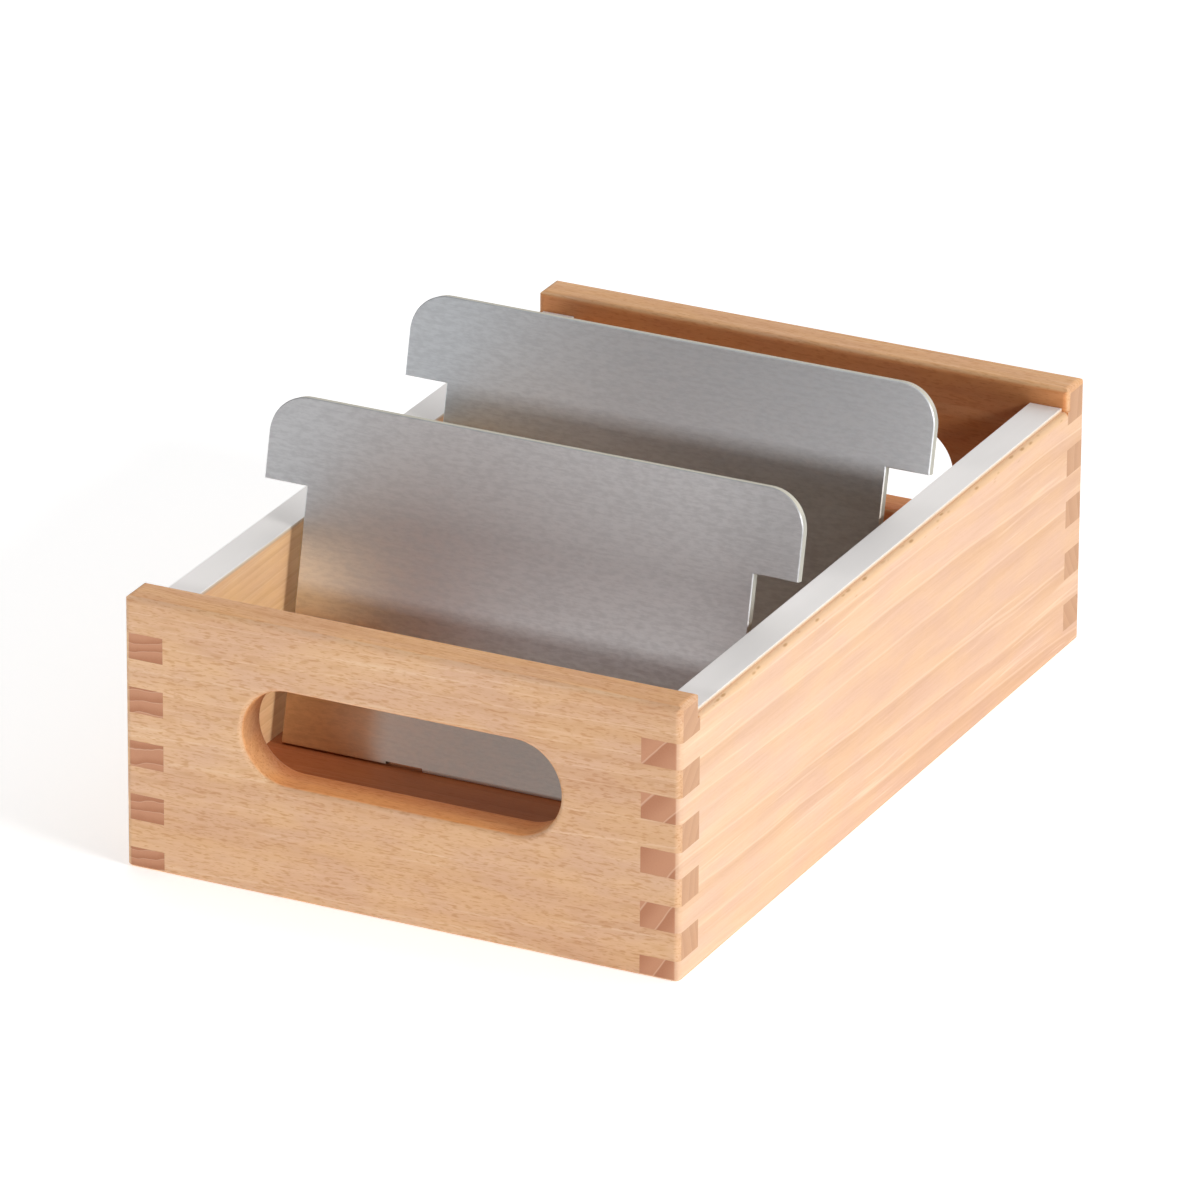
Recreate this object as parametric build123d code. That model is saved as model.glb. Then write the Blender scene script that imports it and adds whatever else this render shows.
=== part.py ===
from build123d import *
from math import cos, radians, sin, tan
import os

# Wooden index card box with two leaning support plates, in millimetres.
# X runs across the box, Y from the front board to the back board, Z up from the table.
# The origin is at the middle of the box, on the surface that it stands on.

# Box boards
inside_width = 153.0
inside_length = 254.0
side_thickness = 12.5
end_thickness = 12.2
side_height = 78.0
end_rise = 6.0                # the end boards stand this far above the rails

# Finger joints at the four corners
lowest_finger = 6.4           # height of the bottom finger of a side board
side_finger = 8.1             # height of every other finger of a side board
end_finger = 8.75             # height of a finger of an end board
corner_radius = 2.0           # rounding of the upright corners
bottom_chamfer = 0.6          # all round the underside
board_top_radius = 2.0        # rounding all round the top of an end board
side_top_radius = 1.6         # rounding along the outer top edge of a side board

# Grip holes, one in each end board
grip_width = 102.0
grip_height = 29.4
grip_centre_height = 50.0
grip_edge_radius = 1.6

# Floor panel, held in a groove in all four boards
floor_top = 16.0
floor_thickness = 4.0
groove_depth = 5.0
groove_end_gap = 0.5          # room for the panel to swell

# Metal rails on the side boards
rail_thickness = 1.2
rail_margin = 0.4             # flat wood left between a rail and the rounded edge beside it
rail_end_gap = 0.3
rail_edge_radius = 0.25

# Support plates, bent from sheet
sheet_thickness = 3.0
sheet_chamfer = 0.3           # along the edges of both faces
lean_angle = 12.6             # degrees back from upright
plate_side_gap = 4.2          # between a plate and each side board
ear_clearance = 12.1          # between the rails and the underside of the ears
ear_height = 26.0             # along the sheet
ear_reach = 14.0              # beyond the side of the plate's body
ear_corner_radius = 12.0
foot_width = 52.0
foot_length = 45.0
bend_outer_radius = 1.2
bend_inner_radius = 0.6
relief_width = 12.0           # the notch on each side of the bent foot
relief_margin = 0.1           # the notch ends this far above the bend
front_plate_offset = 52.6     # from the inside of the front board
plate_spacing = 90.0          # from the front plate to the back plate

# Worked out from the sizes above
outside_width = inside_width + 2 * side_thickness
outside_length = inside_length + 2 * end_thickness
rail_top = side_height + rail_thickness
end_height = rail_top + end_rise
rail_width = side_thickness - side_top_radius - rail_margin
finger_pitch = side_finger + end_finger
finger_count = int((side_height - lowest_finger) // finger_pitch) + 1
lean = radians(lean_angle)
body_height = (rail_top + ear_clearance - floor_top) / cos(lean)
body_width = inside_width - 2 * plate_side_gap
standing = (Align.CENTER, Align.CENTER, Align.MIN)


def edges_along(shape, axis):
    return shape.edges().filter_by(axis)


def outer_block():
    """The whole box as one block, with its upright corners rounded and its bottom edges chamfered."""
    block = Box(outside_width, outside_length, end_height, align=standing)
    block = fillet(edges_along(block, Axis.Z), corner_radius)
    return chamfer(block.faces().sort_by(Axis.Z)[0].edges(), bottom_chamfer)


def floor_groove():
    """The space that the grooves in the four boards make together."""
    width = inside_width + 2 * groove_depth
    length = inside_length + 2 * groove_depth
    groove = Box(width, length, floor_thickness, align=standing)
    return Pos(0, 0, floor_top - floor_thickness) * groove


def finger_levels():
    """Bottom and top of each finger of the side boards, from the lowest up."""
    tops = [lowest_finger + k * finger_pitch for k in range(finger_count)]
    return [(max(top - side_finger, 0), top) for top in tops]


def finger_blocks():
    """The parts of the four corners that the side boards' fingers fill."""
    x = (inside_width + side_thickness) / 2
    y = (inside_length + end_thickness) / 2
    blocks = Part()
    for bottom, top in finger_levels():
        finger = Box(side_thickness, end_thickness, top - bottom, align=standing)
        for side in (-1, 1):
            for end in (-1, 1):
                blocks += Pos(side * x, end * y, bottom) * finger
    return blocks


def pierced_board():
    """An end board up to the top of the side boards, with its long round-ended grip hole."""
    board = Box(outside_width, end_thickness, side_height, align=standing)
    outline = Plane.XZ * SlotOverall(grip_width, grip_height)
    board -= Pos(0, 0, grip_centre_height) * extrude(outline, end_thickness / 2, both=True)
    faces = board.faces().filter_by(Axis.Y)
    rims = [edge for face in faces for wire in face.inner_wires() for edge in wire.edges()]
    return fillet(rims, grip_edge_radius)


def crown():
    """The part of an end board that stands above the side boards, rounded all round its top."""
    block = Box(outside_width, end_thickness, end_height - side_height, align=standing)
    round_corners = fillet(edges_along(block, Axis.Z), corner_radius)
    round_length = fillet(edges_along(block, Axis.X).group_by(Axis.Z)[-1], board_top_radius)
    round_ends = fillet(edges_along(block, Axis.Y).group_by(Axis.Z)[-1], board_top_radius)
    return Pos(0, 0, side_height) * (round_corners & round_length & round_ends)


def front_board():
    """The front board: fingers at both ends, grip hole, groove and rounded top."""
    y = -(inside_length + end_thickness) / 2
    board = Pos(0, y, 0) * (pierced_board() + crown())
    return (board & outer_block()) - finger_blocks() - floor_groove()


def right_side():
    """The right side board: its fingers pass through both end boards."""
    blank = Box(side_thickness, inside_length, side_height, align=standing)
    top_edge = edges_along(blank, Axis.Y).group_by(Axis.Z)[-1].sort_by(Axis.X)[-1]
    blank = fillet(top_edge, side_top_radius)
    blank = Pos((inside_width + side_thickness) / 2, 0, 0) * blank
    right_half = Pos(outside_width / 2, 0, 0) * Box(outside_width, outside_length, end_height, align=standing)
    board = blank + (finger_blocks() & right_half)
    return (board & outer_block()) - floor_groove()


def floor_panel():
    """The floor: a thin panel that stops short of the bottom of its grooves."""
    width = inside_width + 2 * (groove_depth - groove_end_gap)
    length = inside_length + 2 * (groove_depth - groove_end_gap)
    panel = Box(width, length, floor_thickness, align=standing)
    return Pos(0, 0, floor_top - floor_thickness) * panel


def right_rail():
    """A flat metal strip on the right side board, flush with the inside of the box."""
    strip = Box(rail_width, inside_length - 2 * rail_end_gap, rail_thickness, align=standing)
    top_face = strip.faces().sort_by(Axis.Z)[-1]
    strip = fillet(top_face.edges(), rail_edge_radius)
    return Pos((inside_width + rail_width) / 2, 0, side_height) * strip


def bent_foot():
    """The tongue in the middle of a plate: down the sheet, round the bend and back along the floor."""
    start = -sheet_thickness * sin(lean) * tan(lean)      # the front of the sheet, carried on to the floor
    inner = start + sheet_thickness * (tan(lean) + 1 / cos(lean))      # the inside of the bend
    height = body_height * cos(lean)
    outline = Polyline(
        (start, 0),
        (start + foot_length, 0),
        (start + foot_length, sheet_thickness),
        (inner, sheet_thickness),
        (inner + (height - sheet_thickness) * tan(lean), height),
        (start + height * tan(lean), height),
        close=True,
    )
    section = make_face(outline)
    section = fillet(section.vertices().sort_by_distance((start, 0))[0], bend_outer_radius)
    section = fillet(section.vertices().sort_by_distance((inner, sheet_thickness))[0], bend_inner_radius)
    return extrude(Plane.YZ * section, foot_width / 2, both=True)


def support_plate():
    """A plate with two ears, leaning back on its bent foot; its front foot edge is at Y = 0."""
    full_height = body_height + ear_height
    body = Pos(0, full_height / 2) * Rectangle(body_width, full_height)
    ears = Pos(0, body_height + ear_height / 2) * Rectangle(body_width + 2 * ear_reach, ear_height)
    sheet = extrude(Plane.XZ * (body + ears), -sheet_thickness)
    top_corners = edges_along(sheet, Axis.Y).group_by(Axis.Z)[-1]
    sheet = fillet(top_corners, ear_corner_radius)
    rims = [edge for face in sheet.faces().filter_by(Axis.Y) for edge in face.edges()]
    sheet = chamfer(rims, sheet_chamfer)
    bend_run = bend_outer_radius / tan((radians(90) - lean) / 2)
    relief_height = bend_run - sheet_thickness * tan(lean) + relief_margin
    relief = Box(foot_width + 2 * relief_width, sheet_thickness, relief_height, align=standing)
    sheet -= Pos(0, sheet_thickness / 2, 0) * relief
    leaning = Pos(0, 0, sheet_thickness * sin(lean)) * Rot(-lean_angle, 0, 0) * sheet
    return leaning + bent_foot()


def on_floor(plate, distance):
    """Stands a plate on the floor panel, this far from the inside of the front board."""
    return Pos(0, distance - inside_length / 2, floor_top) * plate


front = front_board()
side = right_side()
rail = right_rail()
plate = support_plate()

parts = {
    "front_board": front,
    "back_board": mirror(front, Plane.XZ),
    "right_side": side,
    "left_side": mirror(side, Plane.YZ),
    "floor_panel": floor_panel(),
    "right_rail": rail,
    "left_rail": mirror(rail, Plane.YZ),
    "front_support_plate": on_floor(plate, front_plate_offset),
    "back_support_plate": on_floor(plate, front_plate_offset + plate_spacing),
}

os.makedirs("parts", exist_ok=True)
for name, shape in parts.items():
    export_step(shape, f"parts/{name}.step")
    print(name, round(shape.volume), "cubic mm")
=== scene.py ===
import bpy
import math
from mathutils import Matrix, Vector

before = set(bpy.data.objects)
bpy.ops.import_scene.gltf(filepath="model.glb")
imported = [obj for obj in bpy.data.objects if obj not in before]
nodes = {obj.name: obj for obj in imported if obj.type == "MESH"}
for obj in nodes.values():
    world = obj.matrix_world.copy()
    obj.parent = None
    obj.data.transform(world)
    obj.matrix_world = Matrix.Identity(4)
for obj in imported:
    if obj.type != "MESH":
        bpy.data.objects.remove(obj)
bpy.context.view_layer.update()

print("frame loaded with", len(nodes), "nodes")


def reach(nodeName, axis):  # how far a CAD node reaches along an axis, in metres
    return max(corner[axis] for corner in nodes[nodeName].bound_box)


outerSide = reach("right_side", 0)
sideTop = reach("right_side", 2)
outerEnd = reach("back_board", 1)
print("side", outerSide, "end", outerEnd, "top of the sides", sideTop)


# Small helpers for material nodes

def addNode(tree, kind, values=None, **settings):
    node = tree.nodes.new(kind)
    for key, value in settings.items():
        setattr(node, key, value)
    for key, value in (values or {}).items():
        if isinstance(value, bpy.types.NodeSocket):
            tree.links.new(value, node.inputs[key])
        else:
            node.inputs[key].default_value = value
    return node


def calc(tree, operation, first, second=0.0, third=0.0):
    node = addNode(tree, "ShaderNodeMath", {0: first, 1: second, 2: third}, operation=operation)
    return node.outputs[0]


def spread(tree, value, low, high, toLow=0.0, toHigh=1.0):  # a soft step between two values
    values = {"Value": value, "From Min": low, "From Max": high, "To Min": toLow, "To Max": toHigh}
    return addNode(tree, "ShaderNodeMapRange", values, interpolation_type="SMOOTHSTEP").outputs["Result"]


def blendColour(tree, amount, first, second, way="MIX"):  # sockets 6 and 7 of a Mix node are its two colours
    values = {0: amount, 6: first, 7: second}
    for key in (6, 7):
        if not isinstance(values[key], bpy.types.NodeSocket):
            values[key] = (*values[key], 1.0)
    return addNode(tree, "ShaderNodeMix", values, data_type="RGBA", blend_type=way).outputs[2]


def tinted(tree, colour, tone, amount=1.0):  # multiplies a tone in, all over or as far as amount says
    return blendColour(tree, amount, colour, tone, "MULTIPLY")


def ownPlace(tree):  # the place on the piece itself, so a pattern stays with it
    return addNode(tree, "ShaderNodeTexCoord").outputs["Object"]


def axes(tree, vector):
    return addNode(tree, "ShaderNodeSeparateXYZ", {0: vector}).outputs


def vectorMath(tree, operation, first, second, output="Vector"):
    node = addNode(tree, "ShaderNodeVectorMath", {0: first, 1: second}, operation=operation)
    return node.outputs[output]


def facing(tree, axis):  # 1 where the surface faces along an axis, -1 where it faces the other way
    normal = addNode(tree, "ShaderNodeTexCoord").outputs["Normal"]
    return vectorMath(tree, "DOT_PRODUCT", normal, axis, "Value")


def facingEitherWay(tree, axis):
    return calc(tree, "ABSOLUTE", facing(tree, axis))


def stretched(tree, place, cells, start=(0.0, 0.0, 0.0)):
    values = {"Vector": place, "Scale": cells, "Location": start}
    return addNode(tree, "ShaderNodeMapping", values).outputs["Vector"]


def noise(tree, place, detail, roughness, output="Fac"):
    values = {"Vector": place, "Scale": 1.0, "Detail": detail, "Roughness": roughness}
    return addNode(tree, "ShaderNodeTexNoise", values).outputs[output]


def pattern(tree, place, facts, start=(0.0, 0.0, 0.0)):  # its cells are counted to the metre
    return noise(tree, stretched(tree, place, facts["cells"], start), facts["detail"], facts["roughness"])


def addRelief(tree, shader, height, strength, depth):
    bump = addNode(tree, "ShaderNodeBump", {"Height": height, "Strength": strength, "Distance": depth})
    tree.links.new(bump.outputs["Normal"], shader.inputs["Normal"])


def freshMaterial(name):
    material = bpy.data.materials.new(name)
    material.use_nodes = True
    tree = material.node_tree
    tree.nodes.clear()
    shader = tree.nodes.new("ShaderNodeBsdfPrincipled")
    output = tree.nodes.new("ShaderNodeOutputMaterial")
    tree.links.new(shader.outputs["BSDF"], output.inputs["Surface"])
    return material, tree, shader


def dress(nodeName, material):  # gives a CAD node its finish
    for slot in nodes[nodeName].material_slots:
        slot.material = material


# Beech boards: pale steamed beech with short dark ray flecks, oiled and sanded smooth. The heart is where the
# middle of the tree lay, the tilt turns the grain in degrees, and the shift gives each board its own wood.

boards = {
    "front_board": {
        "grain": "x", "heart": (0.0, -0.09, 0.020), "tilt": (0.0, 1.2, 0.6), "shift": 0.31,
        "rings": 0.0040, "waves": 5.0, "ringShade": 0.20, "flecks": 1.0, "lines": 0.30,
        "pale": (0.82, 0.555, 0.365), "deep": (0.67, 0.39, 0.215),
        "toneAndShadeDrift": (3.0, 0.0, 6.0), "toneAndShadeDriftStart": 0.24, "toneAndShadeDriftTone": (0.87, 0.83, 0.81),
        "topCutAndLightTone": (1.06, 0.95, 0.79), "inward": (0.0, 1.0, 0.0), "innerLightAndShadeTone": (0.82, 0.52, 0.34),
        "endPale": (0.535, 0.305, 0.175), "endDeep": (0.48, 0.265, 0.15), "endLine": 0.10,
        "gripHole": True, "outerEdge": False,
    },
    "back_board": {
        "grain": "x", "heart": (0.0, 0.20, 0.065), "tilt": (0.0, -0.9, 0.5), "shift": 0.87,
        "rings": 0.0040, "waves": 5.0, "ringShade": 0.25, "flecks": 0.8, "lines": 0.30,
        "pale": (0.83, 0.495, 0.275), "deep": (0.65, 0.35, 0.175),
        "toneAndShadeDrift": (0.0, 0.0, 4.0), "toneAndShadeDriftStart": 0.0, "toneAndShadeDriftTone": (0.96, 0.95, 0.94),
        "topCutAndLightTone": (1.08, 1.06, 1.0), "inward": (0.0, -1.0, 0.0), "innerLightAndShadeTone": (0.93, 0.70, 0.55),
        "endPale": (0.535, 0.305, 0.175), "endDeep": (0.48, 0.265, 0.15), "endLine": 0.10,
        "gripHole": True, "outerEdge": False,
    },
    "right_side": {
        "grain": "y", "heart": (0.25, 0.0, -0.10), "tilt": (1.1, 0.0, 0.7), "shift": 0.53,
        "rings": 0.0085, "waves": 5.0, "ringShade": 0.42, "flecks": 0.12, "lines": 0.30,
        "pale": (0.775, 0.54, 0.385), "deep": (0.63, 0.395, 0.255),
        "toneAndShadeDrift": (0.0, 3.9, 0.0), "toneAndShadeDriftStart": 0.50, "toneAndShadeDriftTone": (0.93, 0.89, 0.87),
        "endPale": (0.60, 0.30, 0.175), "endDeep": (0.43, 0.175, 0.09), "endLine": 0.42,
        "gripHole": False, "outerEdge": True,
    },
    "left_side": {
        "grain": "y", "heart": (-0.10, 0.0, 0.19), "tilt": (-0.8, 0.0, -0.6), "shift": 0.17,
        "rings": 0.0038, "waves": 11.0, "ringShade": 0.45, "flecks": 0.15, "lines": 0.30,
        "pale": (0.87, 0.59, 0.375), "deep": (0.70, 0.425, 0.24),
        "toneAndShadeDrift": (0.0, 3.0, 0.0), "toneAndShadeDriftStart": 0.30, "toneAndShadeDriftTone": (0.96, 0.94, 0.93),
        "inward": (1.0, 0.0, 0.0), "innerLightAndShadeTone": (1.05, 1.04, 0.93),
        "endPale": (0.60, 0.30, 0.175), "endDeep": (0.43, 0.175, 0.09), "endLine": 0.42,
        "gripHole": False, "outerEdge": True,
    },
    # the floor panel's dark red colours are partly its own wood and partly painted shade of the inside of the
    # box
    "floor_panel": {
        "grain": "x", "heart": (0.0, 0.05, -0.15), "tilt": (0.0, 0.4, 0.3), "shift": 0.61,
        "rings": 0.0050, "waves": 5.0, "ringShade": 0.35, "flecks": 0.5, "lines": 0.04,
        "pale": (0.44, 0.150, 0.055), "deep": (0.35, 0.112, 0.040),
        "toneAndShadeDrift": (3.0, 2.0, 0.0), "toneAndShadeDriftStart": 0.50, "toneAndShadeDriftTone": (0.95, 0.93, 0.92),
        "endPale": (0.46, 0.22, 0.11), "endDeep": (0.38, 0.16, 0.08), "endLine": 0.2,
        "gripHole": False, "outerEdge": False,
    },
}

grainTurns = {"x": 0.0, "y": -90.0}
grainAxes = {"x": (1.0, 0.0, 0.0), "y": (0.0, 1.0, 0.0)}


def grainVector(tree, board):  # turns and shifts the board's own place so that X runs along the grain
    tiltX, tiltY, tiltZ = [math.radians(angle) for angle in board["tilt"]]
    turn = math.radians(grainTurns[board["grain"]])
    centred = addNode(tree, "ShaderNodeMapping", {
        "Vector": ownPlace(tree), "Location": [-offset for offset in board["heart"]],
    }).outputs["Vector"]
    return addNode(tree, "ShaderNodeMapping", {
        "Vector": centred, "Rotation": (tiltX, tiltY, tiltZ + turn), "Location": (board["shift"], 0.0, 0.0),
    }).outputs["Vector"]


growth = {
    "wander": 0.0030,
    "wanderLength": 0.09,
    "wanderDetail": 2.0,
    "widthPace": 0.35,  # how soon the ring width changes, against the spacing
    "widthSpread": 2.2,
    "widthDetail": 1.0,
    "roughness": 0.5,
    "lateWood": (0.15, 0.90),
    "lateWoodEnd": (1.0, 0.93),
    "lightLineAt": 0.97,
    "lightLineFade": (0.05, 0.01),
}


def wanderingGrain(tree, along, waves):  # lets the grain drift a little, the same way for every pattern
    slow = 1.0 / growth["wanderLength"]
    place = stretched(tree, along, (slow, slow * waves, slow * waves))
    wander = noise(tree, place, growth["wanderDetail"], growth["roughness"], "Color")
    centred = vectorMath(tree, "SUBTRACT", wander, (0.5, 0.5, 0.5))
    scaled = vectorMath(tree, "MULTIPLY", centred, (0.0, growth["wander"], growth["wander"]))
    return vectorMath(tree, "ADD", along, scaled)


def growthRings(tree, grain, spacing):  # late wood darkens up to a thin light line where the next ring starts
    parts = axes(tree, grain)
    square = calc(tree, "MULTIPLY", parts["Y"], parts["Y"])
    radius = calc(tree, "SQRT", calc(tree, "MULTIPLY_ADD", parts["Z"], parts["Z"], square))
    outwards = calc(tree, "MULTIPLY", radius, growth["widthPace"] / spacing)
    place = addNode(tree, "ShaderNodeCombineXYZ", {0: outwards}).outputs["Vector"]
    lag = calc(tree, "MULTIPLY", noise(tree, place, growth["widthDetail"], growth["roughness"]),
               growth["widthSpread"])
    rings = calc(tree, "FRACT", calc(tree, "MULTIPLY_ADD", radius, 1.0 / spacing, lag))
    darkening = spread(tree, rings, *growth["lateWood"])
    lateWood = calc(tree, "MULTIPLY", darkening, spread(tree, rings, *growth["lateWoodEnd"]))
    fromLine = calc(tree, "ABSOLUTE", calc(tree, "SUBTRACT", rings, growth["lightLineAt"]))
    return lateWood, spread(tree, fromLine, *growth["lightLineFade"])


flecks = {
    "length": 0.0034,
    "width": 0.00060,
    "detail": 1.0,
    "roughness": 0.4,
    "tint": (0.86, 0.76, 0.65),
    "kinds": (  # short flecks of two sizes, and longer softer ones
        {"size": 1.0, "levels": (0.54, 0.72), "start": (0.0, 0.0, 0.0), "strength": 1.0},
        {"size": 0.66, "levels": (0.57, 0.74), "start": (0.3, 0.7, 0.5), "strength": 1.0},
        {"size": 2.8, "levels": (0.55, 0.78), "start": (0.9, 0.2, 0.4), "strength": 0.55},
    ),
}


def fleckMarks(tree, grain, amount):  # thin dashes along the grain
    marks = 0.0
    for kind in flecks["kinds"]:
        along = 1.0 / (flecks["length"] * kind["size"])
        across = 1.0 / (flecks["width"] * kind["size"])
        place = stretched(tree, grain, (along, across, across), kind["start"])
        dashes = spread(tree, noise(tree, place, flecks["detail"], flecks["roughness"]), *kind["levels"])
        marks = calc(tree, "MAXIMUM", marks, calc(tree, "MULTIPLY", dashes, kind["strength"]))
    return calc(tree, "MULTIPLY", marks, amount)


gripHole = {
    "halfLength": 0.0363,  # from the middle to where the round end starts
    "radius": 0.0147,
    "height": 0.050,
    "rim": 0.0005,
    "outerLightAndShadeTone": (1.10, 0.88, 0.62),
    "innerLightAndShadeTone": (0.82, 0.52, 0.34),
    "depths": (outerEnd - 0.0027, outerEnd - 0.0117),
    "endGrain": 0.3,
}


def gripHoleWall(tree):  # 1 on the wall of the round-ended hole
    parts = axes(tree, ownPlace(tree))
    beyond = calc(tree, "SUBTRACT", calc(tree, "ABSOLUTE", parts["X"]), gripHole["halfLength"])
    beyond = calc(tree, "MAXIMUM", beyond, 0.0)
    level = calc(tree, "SUBTRACT", parts["Z"], gripHole["height"])
    square = calc(tree, "MULTIPLY_ADD", beyond, beyond, calc(tree, "MULTIPLY", level, level))
    radius = gripHole["radius"]
    return spread(tree, calc(tree, "SQRT", square), radius + gripHole["rim"], radius)


# painted shade in a recess: the wall of the grip hole is lightened at its mouth and darkened deeper in
def gripHolePaintedShade(tree):  # deepens from the outer face of the board inwards
    fromMiddle = calc(tree, "ABSOLUTE", axes(tree, ownPlace(tree))["Y"])
    return blendColour(tree, spread(tree, fromMiddle, *gripHole["depths"]),
                       gripHole["outerLightAndShadeTone"], gripHole["innerLightAndShadeTone"])


outerEdge = {
    "from": (outerSide - 0.0018, outerSide - 0.0014),
    "chipCells": (700.0, 1 / 0.0048, 700.0),
    "chipFade": (0.42, 0.14),
    "chipChance": (0.44, 0.64),
    "chipHeights": (sideTop - 0.0037, sideTop - 0.0028),
    "chipColour": (0.44, 0.23, 0.085),
    "chipStrength": 0.8,
    "bandHeights": (sideTop - 0.0023, sideTop - 0.0006),
    "bandColour": (0.78, 0.51, 0.27),
    "bandStrength": 0.5,
}


def wornEdge(tree, colour):  # a darker band and small broken fibres along the rounded outer top edge
    place = ownPlace(tree)
    parts = axes(tree, place)
    outside = spread(tree, calc(tree, "ABSOLUTE", parts["X"]), *outerEdge["from"])
    band = calc(tree, "MULTIPLY", spread(tree, parts["Z"], *outerEdge["bandHeights"]), outside)
    band = calc(tree, "MULTIPLY", band, outerEdge["bandStrength"])
    colour = blendColour(tree, band, colour, outerEdge["bandColour"])

    cells = stretched(tree, place, outerEdge["chipCells"])
    dots = addNode(tree, "ShaderNodeTexVoronoi", {"Vector": cells, "Scale": 1.0}, feature="F1")
    chance = addNode(tree, "ShaderNodeSeparateColor", {0: dots.outputs["Color"]}).outputs[0]
    chips = spread(tree, dots.outputs["Distance"], *outerEdge["chipFade"])
    chips = calc(tree, "MULTIPLY", chips, spread(tree, chance, *outerEdge["chipChance"]))
    chips = calc(tree, "MULTIPLY", chips, spread(tree, parts["Z"], *outerEdge["chipHeights"]))
    chips = calc(tree, "MULTIPLY", calc(tree, "MULTIPLY", chips, outside), outerEdge["chipStrength"])
    return blendColour(tree, chips, colour, outerEdge["chipColour"])


woodPatterns = {  # cells to the metre, along the grain and twice across it
    "ringFade": {"cells": (9.0, 60.0, 60.0), "start": (0.0, 0.0, 0.0), "detail": 3.0, "roughness": 0.5},
    "fibres": {"cells": (1 / 0.045, 1 / 0.0007, 1 / 0.0007), "start": (0.0, 0.0, 0.0),
               "detail": 4.0, "roughness": 0.6},
    "streaks": {"cells": (7.0, 170.0, 170.0), "start": (0.0, 0.0, 0.0), "detail": 3.0, "roughness": 0.55},
    "paleStreaks": {"cells": (16.0, 620.0, 620.0), "start": (2.0, 5.0, 1.0), "detail": 2.0, "roughness": 0.5},
    "patches": {"cells": (45.0, 130.0, 130.0), "start": (3.0, 1.0, 2.0), "detail": 2.0, "roughness": 0.5},
    "endPores": {"cells": (300.0, 2600.0, 2600.0), "start": (0.0, 0.0, 0.0), "detail": 2.0, "roughness": 0.6},
    "pores": {"cells": (1 / 0.0012, 1 / 0.00018, 1 / 0.00018), "start": (0.0, 0.0, 0.0),
              "detail": 2.0, "roughness": 0.5},
}

beech = {  # two levels are where a pattern starts and is full, and two more the least and the most it gives
    "ringFade": (0.35, 0.7, 0.3, 1.0),
    "streaks": (0.3, 0.72),
    "streakShade": 0.38,
    "fibres": (0.25, 0.75),
    "fibreShade": 0.26,
    "patches": (0.32, 0.68),
    "yellowPatch": (1.03, 1.01, 0.93),
    "pinkPatch": (0.98, 0.955, 0.97),
    "paleStreaks": (0.60, 0.76),
    "ringLine": 0.7,
    "lightLine": (0.93, 0.72, 0.51),
    "topFacing": (0.80, 0.97),
    "innerFacing": (0.70, 0.95),
    "roundedEnd": (0.60, 0.95, 0.0, 0.25),
    "squareEnd": (0.94, 0.995, 0.0, 0.75),
    "endLateWood": 0.6,
    "endPores": 0.35,
    "endLine": (0.80, 0.55, 0.40),
    "roughness": (0.48, 0.60),
    "fleckRoughness": 0.08,
    "ior": 1.45,
    "specular": 0.28,
    "poreRelief": 0.5,
    "fibreRelief": 0.5,
    "fleckRelief": -0.4,
    "relief": 0.35,
    "reliefDepth": 0.00006,
}


def woodNoise(tree, grain, name):
    return pattern(tree, grain, woodPatterns[name], woodPatterns[name]["start"])


def woodShade(tree, board, grain, lateWood, fibres):  # how deep the wood is, from rings, streaks and fibres
    ringStrength = spread(tree, woodNoise(tree, grain, "ringFade"), *beech["ringFade"])
    shade = calc(tree, "MULTIPLY", calc(tree, "MULTIPLY", lateWood, ringStrength), board["ringShade"])
    streaks = spread(tree, woodNoise(tree, grain, "streaks"), *beech["streaks"])
    shade = calc(tree, "MULTIPLY_ADD", streaks, beech["streakShade"], shade)
    return calc(tree, "MULTIPLY_ADD", spread(tree, fibres, *beech["fibres"]), beech["fibreShade"], shade)


def woodColour(tree, board, grain, shade, ringEdge):  # pale to deep, in pinker and yellower patches
    colour = blendColour(tree, shade, board["pale"], board["deep"])
    pinkness = spread(tree, woodNoise(tree, grain, "patches"), *beech["patches"])
    colour = tinted(tree, colour, blendColour(tree, pinkness, beech["yellowPatch"], beech["pinkPatch"]))
    # a slow change to the deeper drift tone across the board: partly the wood's own tone, partly painted
    # shade
    toneAndShadeDrift = vectorMath(tree, "DOT_PRODUCT", ownPlace(tree), board["toneAndShadeDrift"], "Value")
    toneAndShadeDrift = calc(tree, "ADD", toneAndShadeDrift, board["toneAndShadeDriftStart"])
    colour = tinted(tree, colour, board["toneAndShadeDriftTone"], toneAndShadeDrift)
    paleStreaks = spread(tree, woodNoise(tree, grain, "paleStreaks"), *beech["paleStreaks"])
    lightLines = calc(tree, "MAXIMUM", calc(tree, "MULTIPLY", ringEdge, beech["ringLine"]), paleStreaks)
    return blendColour(tree, calc(tree, "MULTIPLY", lightLines, board["lines"]), colour, beech["lightLine"])


def endGrain(tree, board, grain, lateWood, ringEdge):  # the deeper colour of a cut end, with rings and pores
    pores = calc(tree, "MULTIPLY", woodNoise(tree, grain, "endPores"), beech["endPores"])
    shade = calc(tree, "MULTIPLY_ADD", lateWood, beech["endLateWood"], pores)
    colour = blendColour(tree, shade, board["endPale"], board["endDeep"])
    return blendColour(tree, calc(tree, "MULTIPLY", ringEdge, board["endLine"]), colour, beech["endLine"])


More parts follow.
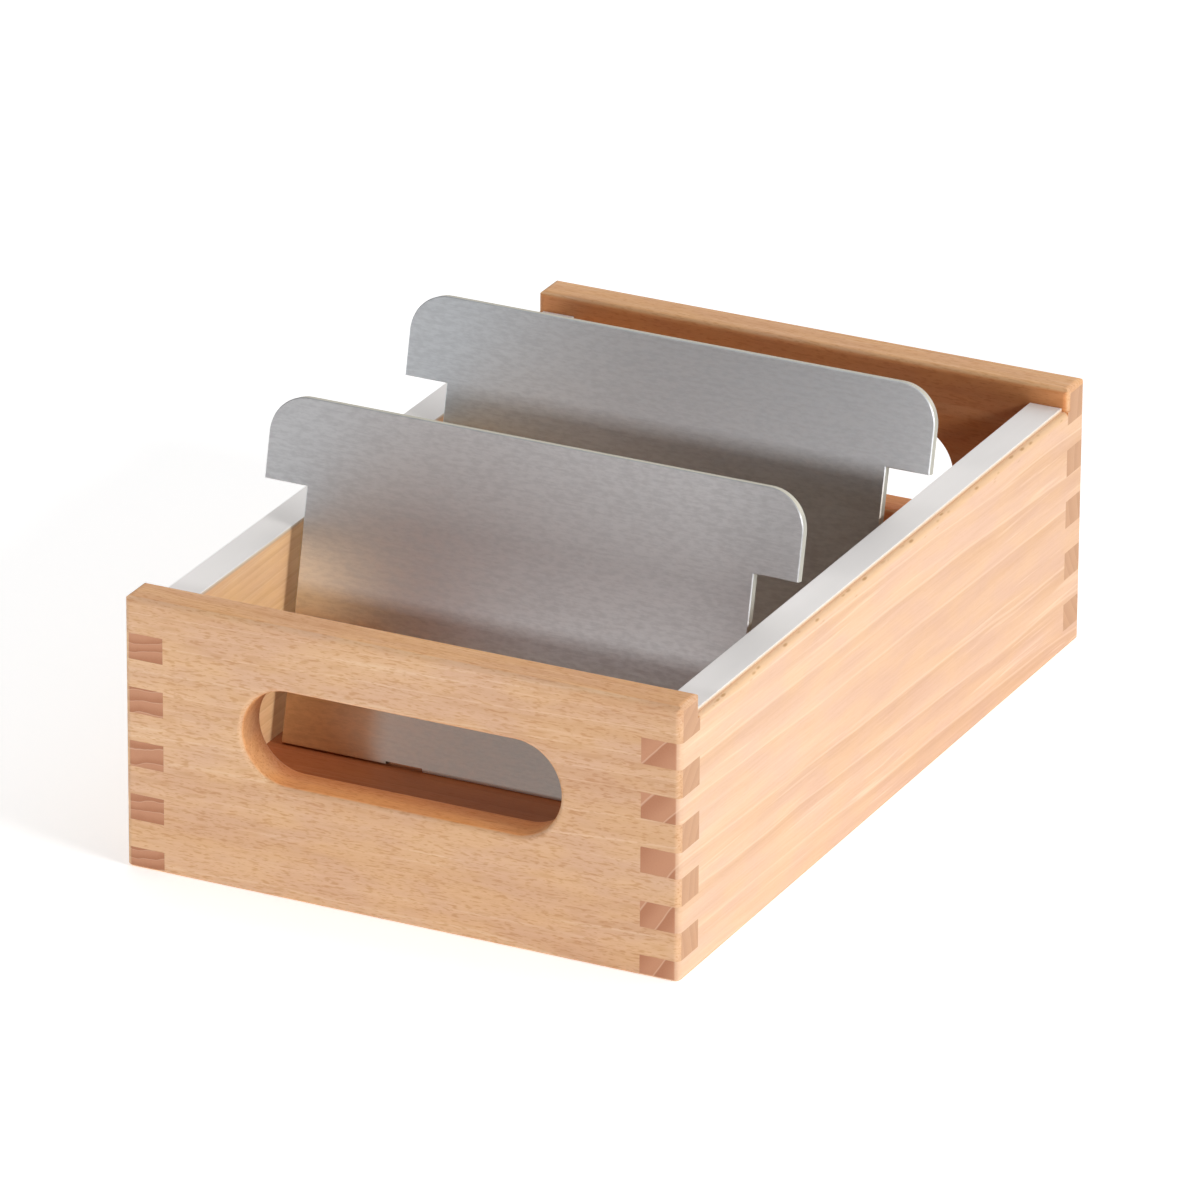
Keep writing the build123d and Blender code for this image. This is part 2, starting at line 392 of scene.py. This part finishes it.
def makeBeech(name, board):
    material, tree, shader = freshMaterial(name + "_beech")
    grain = wanderingGrain(tree, grainVector(tree, board), board["waves"])
    lateWood, ringEdge = growthRings(tree, grain, board["rings"])
    fibres = woodNoise(tree, grain, "fibres")
    shade = woodShade(tree, board, grain, lateWood, fibres)
    colour = woodColour(tree, board, grain, shade, ringEdge)
    marks = fleckMarks(tree, grain, board["flecks"])
    colour = tinted(tree, colour, flecks["tint"], marks)

    # painted light and shade on the top and the inner face: the top also has its own cut of the wood, the
    # inner faces are darkened as painted shade and the left one lightened as painted light
    if "topCutAndLightTone" in board:
        upward = spread(tree, facing(tree, (0.0, 0.0, 1.0)), *beech["topFacing"])
        colour = tinted(tree, colour, board["topCutAndLightTone"], upward)
    if "innerLightAndShadeTone" in board:
        inward = spread(tree, facing(tree, board["inward"]), *beech["innerFacing"])
        colour = tinted(tree, colour, board["innerLightAndShadeTone"], inward)

    # end grain, strongest where the surface is cut square, and faint on the routed wall of a grip hole
    cut = facingEitherWay(tree, grainAxes[board["grain"]])
    endMask = spread(tree, cut, *beech["roundedEnd"])
    endMask = calc(tree, "ADD", endMask, spread(tree, cut, *beech["squareEnd"]))
    if board["gripHole"]:
        wall = gripHoleWall(tree)
        # painted shade deepening into the grip hole
        colour = tinted(tree, colour, gripHolePaintedShade(tree), wall)
        endMask = calc(tree, "MULTIPLY", endMask, spread(tree, wall, 0.0, 1.0, 1.0, gripHole["endGrain"]))
    colour = blendColour(tree, endMask, colour, endGrain(tree, board, grain, lateWood, ringEdge))
    if board["outerEdge"]:
        colour = wornEdge(tree, colour)
    tree.links.new(colour, shader.inputs["Base Color"])

    # satin finish, a little rougher in the late wood and the flecks
    low, high = beech["roughness"]
    rough = calc(tree, "MULTIPLY_ADD", shade, high - low, low)
    rough = calc(tree, "MULTIPLY_ADD", marks, beech["fleckRoughness"], rough)
    tree.links.new(rough, shader.inputs["Roughness"])
    shader.inputs["IOR"].default_value = beech["ior"]
    shader.inputs["Specular IOR Level"].default_value = beech["specular"]

    # fine relief of fibres, pores and flecks
    height = calc(tree, "MULTIPLY", fibres, beech["fibreRelief"])
    height = calc(tree, "MULTIPLY_ADD", woodNoise(tree, grain, "pores"), beech["poreRelief"], height)
    height = calc(tree, "MULTIPLY_ADD", marks, beech["fleckRelief"], height)
    addRelief(tree, shader, height, beech["relief"], beech["reliefDepth"])
    return material


for boardName, board in boards.items():
    dress(boardName, makeBeech(boardName, board))
print("beech finished")


# Rails: drawn aluminium strip, satin along its length

railFinish = {
    "colour": (0.93, 0.898, 0.878),
    "dull": (0.87, 0.842, 0.822),
    "cloud": {"cells": (40.0, 14.0, 40.0), "detail": 3.0, "roughness": 0.5},
    "cloudLevels": (0.3, 0.7),
    "sideUpperWoodReflection": (0.84, 0.75, 0.64),
    "sideLowerWoodReflection": (0.76, 0.55, 0.36),
    "sideHeights": (sideTop + 0.0002, sideTop + 0.0009),
    "sideFacing": (0.60, 0.90),
    "lines": {"cells": (900.0, 3.0, 900.0), "detail": 3.0, "roughness": 0.6},
    "lineRoughness": (0.3, 0.7, 0.50, 0.62),
    "metallic": 0.25,
    "relief": 0.2,
    "reliefDepth": 0.00002,
}


def makeRailMetal():
    material, tree, shader = freshMaterial("satin_aluminium")
    place = ownPlace(tree)
    cloud = spread(tree, pattern(tree, place, railFinish["cloud"]), *railFinish["cloudLevels"])
    tone = blendColour(tree, cloud, railFinish["colour"], railFinish["dull"])

    # painted reflection of the wood: the thin side is toned warmer towards the wood below it
    upper = spread(tree, axes(tree, place)["Z"], *railFinish["sideHeights"])
    sideWoodReflection = blendColour(tree, upper, railFinish["sideLowerWoodReflection"], railFinish["sideUpperWoodReflection"])
    side = spread(tree, facingEitherWay(tree, (1.0, 0.0, 0.0)), *railFinish["sideFacing"])
    tree.links.new(blendColour(tree, side, tone, sideWoodReflection), shader.inputs["Base Color"])

    lines = pattern(tree, place, railFinish["lines"])
    tree.links.new(spread(tree, lines, *railFinish["lineRoughness"]), shader.inputs["Roughness"])
    shader.inputs["Metallic"].default_value = railFinish["metallic"]
    addRelief(tree, shader, lines, railFinish["relief"], railFinish["reliefDepth"])
    return material


railMetal = makeRailMetal()
for railName in ("left_rail", "right_rail"):
    dress(railName, railMetal)
print("rails finished")


# Support plates: bare rolled sheet with a faint brushing across its width. Rows of painted reflection and
# shade
# lie from the table up: each takes over at its step in height, and runs from left to right over its span of
# the width.

plates = {
    "front_support_plate": {
        "colour": (0.70, 0.70, 0.712), "dull": (0.605, 0.604, 0.616), "shift": (0.0, 0.0, 0.0),
        "paintedReflectionShadeRows": (
            {"step": (0.000, 0.001), "span": (-0.047, -0.037),
             "left": (0.94, 0.69, 0.48), "right": (1.04, 1.09, 1.04)},
            {"step": (0.050, 0.060), "span": (-0.066, -0.030),
             "left": (1.20, 1.19, 1.10), "right": (0.94, 0.95, 0.95)},
            {"step": (0.066, 0.086), "span": (0.050, 0.085),
             "left": (1.0, 1.0, 1.0), "right": (0.86, 0.86, 0.86)},
        ),
    },
    "back_support_plate": {
        # painted light: the back plate has lighter colours than the front plate, brightening it where it
        # stands further in the box
        "colour": (0.83, 0.845, 0.865), "dull": (0.73, 0.742, 0.76), "shift": (5.3, 2.1, 7.7),
        "paintedReflectionShadeRows": (
            {"step": (0.000, 0.001), "span": (-0.09, 0.09),
             "left": (1.05, 1.10, 1.10), "right": (0.82, 0.74, 0.64)},
            {"step": (0.080, 0.094), "span": (-0.09, 0.09),
             "left": (0.88, 0.89, 0.90), "right": (1.07, 1.07, 1.07)},
        ),
    },
}

sheetFinish = {
    "lean": 12.6,
    "brush": {"cells": (70.0, 2600.0, 2600.0), "detail": 3.0, "roughness": 0.6},
    "brushShare": 0.45,
    "mottle": {"cells": (330.0, 900.0, 900.0), "detail": 3.0, "roughness": 0.6},
    "mottleLevels": (0.25, 0.75),
    "mottleShare": 0.45,
    "cloud": {"cells": (26.0, 40.0, 40.0), "detail": 2.0, "roughness": 0.5},
    "cloudShare": 0.25,
    "toneLevels": (0.3, 0.9),
    "toneRoughness": (0.25, 0.9, 0.48, 0.58),
    "anisotropy": 0.6,
    "edgeFacing": (0.12, 0.02),
    "edgeMetallic": 0.35,
    "topEdge": (0.60, 0.57, 0.48),
    "sideEdgeShade": (0.43, 0.42, 0.365),
    "sideFacing": (0.75, 0.97),
    "relief": 0.25,
    "reliefDepth": 0.00003,
}


# painted reflections of the wood nearby and painted shade, laid on the sheet by place
def paintedReflectionShade(tree, paintedReflectionShadeRows):  # from left to right and from the table up
    parts = axes(tree, ownPlace(tree))
    tone = (1.0, 1.0, 1.0)
    for row in paintedReflectionShadeRows:
        acrossTone = blendColour(tree, spread(tree, parts["X"], *row["span"]), row["left"], row["right"])
        tone = blendColour(tree, spread(tree, parts["Z"], *row["step"]), tone, acrossTone)
    return tone


def makeSheetMetal(name, facts):
    material, tree, shader = freshMaterial(name)
    place = ownPlace(tree)
    brush = pattern(tree, place, sheetFinish["brush"], facts["shift"])
    mottle = pattern(tree, place, sheetFinish["mottle"], facts["shift"])
    mottle = spread(tree, mottle, *sheetFinish["mottleLevels"])
    cloud = pattern(tree, place, sheetFinish["cloud"], facts["shift"])
    tone = calc(tree, "MULTIPLY", brush, sheetFinish["brushShare"])
    tone = calc(tree, "MULTIPLY_ADD", mottle, sheetFinish["mottleShare"], tone)
    tone = calc(tree, "MULTIPLY_ADD", cloud, sheetFinish["cloudShare"], tone)
    colour = blendColour(tree, spread(tree, tone, *sheetFinish["toneLevels"]), facts["colour"], facts["dull"])
    # painted reflections and painted shade, by place on the sheet
    colour = tinted(tree, colour, paintedReflectionShade(tree, facts["paintedReflectionShadeRows"]))

    # the cut edges of the sheet are duller and more matt than its faces, and the edges that face sideways are
    # darker as painted shade
    lean = math.radians(sheetFinish["lean"])
    faces = facingEitherWay(tree, (0.0, -math.cos(lean), math.sin(lean)))
    edges = spread(tree, faces, *sheetFinish["edgeFacing"])
    sideways = spread(tree, facingEitherWay(tree, (1.0, 0.0, 0.0)), *sheetFinish["sideFacing"])
    edgeColourAndShade = blendColour(tree, sideways, sheetFinish["topEdge"], sheetFinish["sideEdgeShade"])
    tree.links.new(blendColour(tree, edges, colour, edgeColourAndShade), shader.inputs["Base Color"])
    metallic = spread(tree, edges, 0.0, 1.0, 1.0, sheetFinish["edgeMetallic"])
    tree.links.new(metallic, shader.inputs["Metallic"])

    # the brushing stretches highlights across it
    tree.links.new(spread(tree, tone, *sheetFinish["toneRoughness"]), shader.inputs["Roughness"])
    shader.inputs["Anisotropic"].default_value = sheetFinish["anisotropy"]
    tangent = addNode(tree, "ShaderNodeTangent", direction_type="RADIAL", axis="X")
    tree.links.new(tangent.outputs["Tangent"], shader.inputs["Tangent"])
    addRelief(tree, shader, brush, sheetFinish["relief"], sheetFinish["reliefDepth"])
    return material


for plateName, facts in plates.items():
    dress(plateName, makeSheetMetal(plateName + "_sheet", facts))
print("plates finished")


# Studio: white table, soft light from the front, the right and behind, camera as in the photograph

studio = {
    "tableSize": 16.0,
    "tableColour": (0.93, 0.93, 0.93, 1.0),
    "tableRoughness": 0.9,
    "tableGlow": 0.42,
    "glowColour": (1.0, 1.0, 1.0, 1.0),
    "skyTowards": (0.15, 0.75, 0.65),
    "skyLevels": (0.0, 1.0, 0.02, 1.28),  # dark away from that direction, bright towards it
    "lightDistance": 3.0,
    "aim": (0.0, 0.0, 0.05),
}

lights = {  # bearing in degrees from the front towards the right, height in degrees above the table
    "side_light": {"bearing": 80.0, "height": 25.0, "width": 1.0, "tall": 0.5, "power": 50.0},
    "front_light": {"bearing": 1.0, "height": 19.0, "width": 0.8, "tall": 0.22, "power": 25.8},
}

camera = {
    "place": (1.344367, -2.754139, 1.358133),
    "turn": (66.851335, -0.345438, 26.248492),
    "lens": 338.636,
    "sensor": 36.0,
    "reach": 100.0,
}


def makeTable():
    bpy.ops.object.select_all(action="DESELECT")
    bpy.ops.mesh.primitive_plane_add(size=studio["tableSize"], location=(0.0, 0.0, 0.0))
    table = bpy.context.object
    table.name = "table_top"
    material, tree, shader = freshMaterial("white_table")
    shader.inputs["Base Color"].default_value = studio["tableColour"]
    shader.inputs["Roughness"].default_value = studio["tableRoughness"]
    shader.inputs["Emission Color"].default_value = studio["glowColour"]
    shader.inputs["Emission Strength"].default_value = studio["tableGlow"]
    table.data.materials.append(material)


def makeSky():
    world = bpy.data.worlds.new("studio_sky")
    bpy.context.scene.world = world
    world.use_nodes = True
    tree = world.node_tree
    tree.nodes.clear()
    direction = addNode(tree, "ShaderNodeTexCoord").outputs["Generated"]
    towards = vectorMath(tree, "DOT_PRODUCT", direction, Vector(studio["skyTowards"]).normalized(), "Value")
    bright = spread(tree, towards, *studio["skyLevels"])
    background = addNode(tree, "ShaderNodeBackground", {"Strength": bright})
    output = tree.nodes.new("ShaderNodeOutputWorld")
    tree.links.new(background.outputs[0], output.inputs["Surface"])


def makeLight(name, facts):
    data = bpy.data.lights.new(name, "AREA")
    data.shape = "RECTANGLE"
    data.energy = facts["power"]
    data.size = facts["width"]
    data.size_y = facts["tall"]
    light = bpy.data.objects.new(name, data)
    bpy.context.scene.collection.objects.link(light)
    bearing, height = math.radians(facts["bearing"]), math.radians(facts["height"])
    level = math.cos(height)
    direction = Vector((math.sin(bearing) * level, -math.cos(bearing) * level, math.sin(height)))
    light.location = Vector(studio["aim"]) + direction * studio["lightDistance"]
    light.rotation_euler = (-direction).to_track_quat("-Z", "Y").to_euler()


def makeCamera():
    data = bpy.data.cameras.new("camera")
    data.lens = camera["lens"]
    data.sensor_width = camera["sensor"]
    data.clip_end = camera["reach"]
    view = bpy.data.objects.new("camera", data)
    bpy.context.scene.collection.objects.link(view)
    view.location = camera["place"]
    view.rotation_euler = [math.radians(angle) for angle in camera["turn"]]
    bpy.context.scene.camera = view


makeTable()
makeSky()
for lightName, facts in lights.items():
    makeLight(lightName, facts)
makeCamera()
bpy.context.scene.view_settings.view_transform = "Standard"
print("studio ready")
